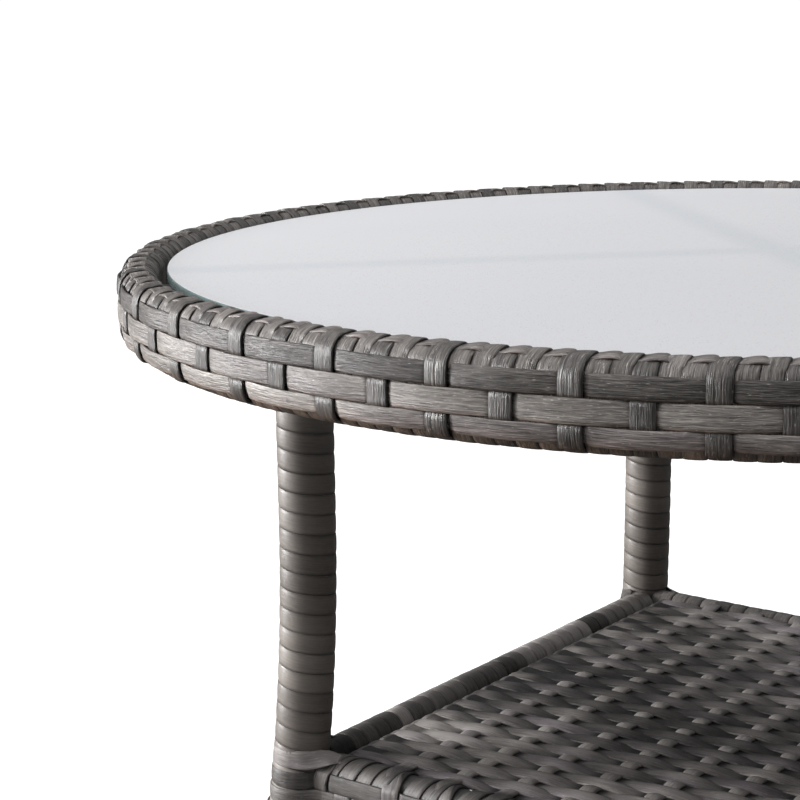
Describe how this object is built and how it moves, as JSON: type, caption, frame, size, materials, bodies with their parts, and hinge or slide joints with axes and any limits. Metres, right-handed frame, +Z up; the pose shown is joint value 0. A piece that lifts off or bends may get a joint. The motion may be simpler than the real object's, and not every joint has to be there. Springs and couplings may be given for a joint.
{
  "type": "wicker coffee table",
  "caption": "Round garden coffee table with a woven wicker rim, loose frosted glass top, wrapped splayed legs and a square woven lower shelf.",
  "frame": {"origin": "on the floor under the centre of the round top", "axes": "+Z up through the middle of the top; +X from leg 1 to leg 4 and +Y from leg 1 to leg 2, along the sides of the square shelf"},
  "size_m": [0.6499, 0.65, 0.44],
  "materials": {
    "glass": "frosted",
    "silicone": "clear soft silicone",
    "steel_frame": "powder coated, fine texture",
    "wicker": "grained satin strip",
    "fixings": "zinc plated",
    "plastic": "moulded, fine texture"
  },
  "bodies": {
    "frame": {"glass_pads": "silicone", "upper_hoop": "steel_frame", "lower_hoop": "steel_frame", "hoop_spacers": "steel_frame", "cross_bar_1_3": "steel_frame", "cross_bar_2_4": "steel_frame", "leg_bolts": "fixings", "rim_wrap": "wicker", "rim_row_1": "wicker", "rim_row_2": "wicker", "rim_row_3": "wicker", "crown_strip": "wicker", "leg_tube_1": "steel_frame", "leg_tube_2": "steel_frame", "leg_tube_3": "steel_frame", "leg_tube_4": "steel_frame", "leg_wrap_1": "wicker", "leg_wrap_2": "wicker", "leg_wrap_3": "wicker", "leg_wrap_4": "wicker", "leg_plug_1": "plastic", "leg_plug_2": "plastic", "leg_plug_3": "plastic", "leg_plug_4": "plastic", "foot_insert_1": "plastic", "foot_insert_2": "plastic", "foot_insert_3": "plastic", "foot_insert_4": "plastic", "shelf_rail_front": "steel_frame", "shelf_rail_right": "steel_frame", "shelf_rail_back": "steel_frame", "shelf_rail_left": "steel_frame", "belt_rail_front": "steel_frame", "belt_rail_right": "steel_frame", "belt_rail_back": "steel_frame", "belt_rail_left": "steel_frame", "weave_rod_left": "steel_frame", "weave_rod_right": "steel_frame", "shelf_brace": "steel_frame", "shelf_warps": "wicker", "shelf_weft": "wicker", "belt_wrap": "wicker", "belt_row_1": "wicker", "belt_row_2": "wicker", "belt_row_3": "wicker", "corner_strips": "wicker"},
    "glass": {"glass_top": "glass"},
    "glide_1": {"glide_stem_1": "fixings", "glide_pad_1": "plastic"},
    "glide_2": {"glide_stem_2": "fixings", "glide_pad_2": "plastic"},
    "glide_3": {"glide_stem_3": "fixings", "glide_pad_3": "plastic"},
    "glide_4": {"glide_stem_4": "fixings", "glide_pad_4": "plastic"}
  },
  "joints": [
    {"name": "glass_lift", "type": "slide", "parent": "frame", "child": "glass", "axis": [0, 0, 1], "range_m": [0, 0.08]},
    {"name": "glide_1_adjust", "type": "slide", "parent": "frame", "child": "glide_1", "axis": [0.0799, 0.0799, 0.9936], "range_m": [0, 0.0045], "stiffness_N_per_m": 15000},
    {"name": "glide_2_adjust", "type": "slide", "parent": "frame", "child": "glide_2", "axis": [0.0799, -0.0799, 0.9936], "range_m": [0, 0.0045], "stiffness_N_per_m": 15000},
    {"name": "glide_3_adjust", "type": "slide", "parent": "frame", "child": "glide_3", "axis": [-0.0799, -0.0799, 0.9936], "range_m": [0, 0.0045], "stiffness_N_per_m": 15000},
    {"name": "glide_4_adjust", "type": "slide", "parent": "frame", "child": "glide_4", "axis": [-0.0799, 0.0799, 0.9936], "range_m": [0, 0.0045], "stiffness_N_per_m": 15000}
  ]
}
